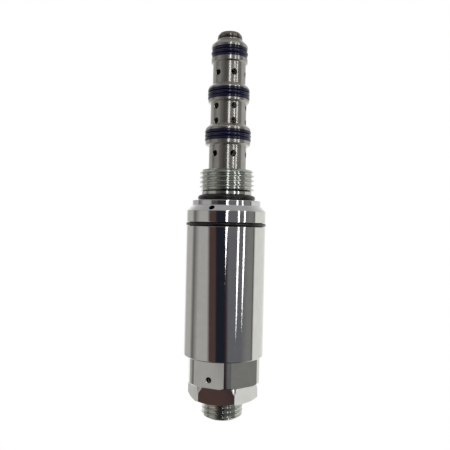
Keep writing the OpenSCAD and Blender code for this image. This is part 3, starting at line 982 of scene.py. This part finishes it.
def emitter(name, strength, attribute=None):
    """Glowing material, plain or coloured by the mesh."""
    material = bpy.data.materials.new(name)
    material.use_nodes = True
    tree = material.node_tree
    tree.nodes.clear()
    glow = tree.nodes.new("ShaderNodeEmission")
    glow.inputs["Strength"].default_value = strength
    out = tree.nodes.new("ShaderNodeOutputMaterial")
    tree.links.new(glow.outputs["Emission"], out.inputs["Surface"])
    if attribute:
        tone = tree.nodes.new("ShaderNodeAttribute")
        tone.attribute_name = attribute
        tree.links.new(tone.outputs["Color"], glow.inputs["Color"])
    return material


def add_light_mesh(name, bm, material):
    """Puts a glowing mesh round the valve that only its reflections and shading see."""
    mesh = bpy.data.meshes.new(name)
    bm.to_mesh(mesh)
    bm.free()
    mesh.materials.append(material)
    obj = bpy.data.objects.new(name, mesh)
    bpy.context.scene.collection.objects.link(obj)
    obj.location = CENTRE
    obj.visible_camera = False
    obj.visible_shadow = False


def make_wall():
    """Round wall of the studio, closed over and under the valve, with a tone at each vertex."""
    bm = bmesh.new()
    layer = bm.verts.layers.float_color.new("tone")
    rows = []
    for elevation in range(-90, 90 + WALL_RISE, WALL_RISE):
        row = []
        for step in range(WALL_STEPS):
            bearing = 360 * step / WALL_STEPS - 180
            vert = bm.verts.new(wall_point(bearing, elevation, STUDIO_R))
            vert[layer] = (*wall_tone(bearing, elevation), 1)
            row.append(vert)
        rows.append(row)
    for here, there in zip(rows, rows[1:]):
        for i in range(WALL_STEPS):
            k = (i + 1) % WALL_STEPS
            bm.faces.new((here[i], here[k], there[k], there[i]))
    add_light_mesh("studio_wall", bm, emitter("studio_light", 1.0, "tone"))


def make_windows():
    """Window lights just inside the wall, as plain glowing strips."""
    for number, (horizon, lean, half, bottom, tone) in enumerate(WINDOWS, 1):
        bm = bmesh.new()
        rows = []
        for elevation in range(bottom, WINDOW_TOP + 1, WALL_RISE):
            middle = horizon + lean * elevation
            width = half * min(max((elevation - bottom) / WINDOW_FADE, 0.02), 1)
            ends = [wall_point(middle + side * width, elevation, STUDIO_R * 0.98) for side in (-1, 1)]
            rows.append([bm.verts.new(end) for end in ends])
        for here, there in zip(rows, rows[1:]):
            bm.faces.new((here[0], here[1], there[1], there[0]))
        add_light_mesh(f"window_{number}", bm, emitter(f"window_light_{number}", tone))


def make_backdrop():
    """Plain white backdrop, and a plain pale floor well below the valve, seen by the camera only."""
    white = emitter("backdrop_white", 1.0)
    bpy.ops.mesh.primitive_uv_sphere_add(segments=64, ring_count=32, radius=BACKDROP_R, location=CENTRE)
    bpy.context.object.name = "backdrop"
    bpy.ops.mesh.primitive_circle_add(vertices=128, radius=BACKDROP_R * 0.9, fill_type="NGON",
                                      location=(0, 0, CAD_BOX[0].z - FLOOR_DROP))
    bpy.context.object.name = "floor"
    for name in ("backdrop", "floor"):
        obj = bpy.data.objects[name]
        obj.data.materials.append(white)
        obj.visible_diffuse = False
        obj.visible_glossy = False
        obj.visible_transmission = False
        obj.visible_shadow = False


# Camera's eye from the valve's middle, its roll in degrees and its lens on a 36 mm sensor
EYE = Vector((-0.00042, -0.250, -0.0003))
ROLL = 1.27
LENS = 45.4


def make_camera():
    """Camera level with the middle of the valve, 250 mm in front of its axis, rolled a little."""
    data = bpy.data.cameras.new("camera")
    data.lens = LENS
    data.sensor_width = 36.0
    data.clip_start = 0.01
    camera = bpy.data.objects.new("camera", data)
    bpy.context.scene.collection.objects.link(camera)
    eye = CENTRE + EYE
    roll = math.radians(ROLL)
    up = Vector((-math.sin(roll), 0, math.cos(roll)))
    back = Vector((0, -1, 0))
    right = up.cross(back).normalized()
    rotation = Matrix((right, up, back)).transposed().to_4x4()
    camera.matrix_world = Matrix.Translation(eye) @ rotation
    bpy.context.scene.camera = camera


def make_world():
    """Nearly black world behind the studio, and a plain view transform."""
    world = bpy.data.worlds.new("world")
    world.use_nodes = True
    world.node_tree.nodes["Background"].inputs["Color"].default_value = (0.02, 0.02, 0.02, 1)
    bpy.context.scene.world = world
    bpy.context.scene.view_settings.view_transform = "Standard"


make_world()
make_wall()
make_windows()
make_backdrop()
make_camera()
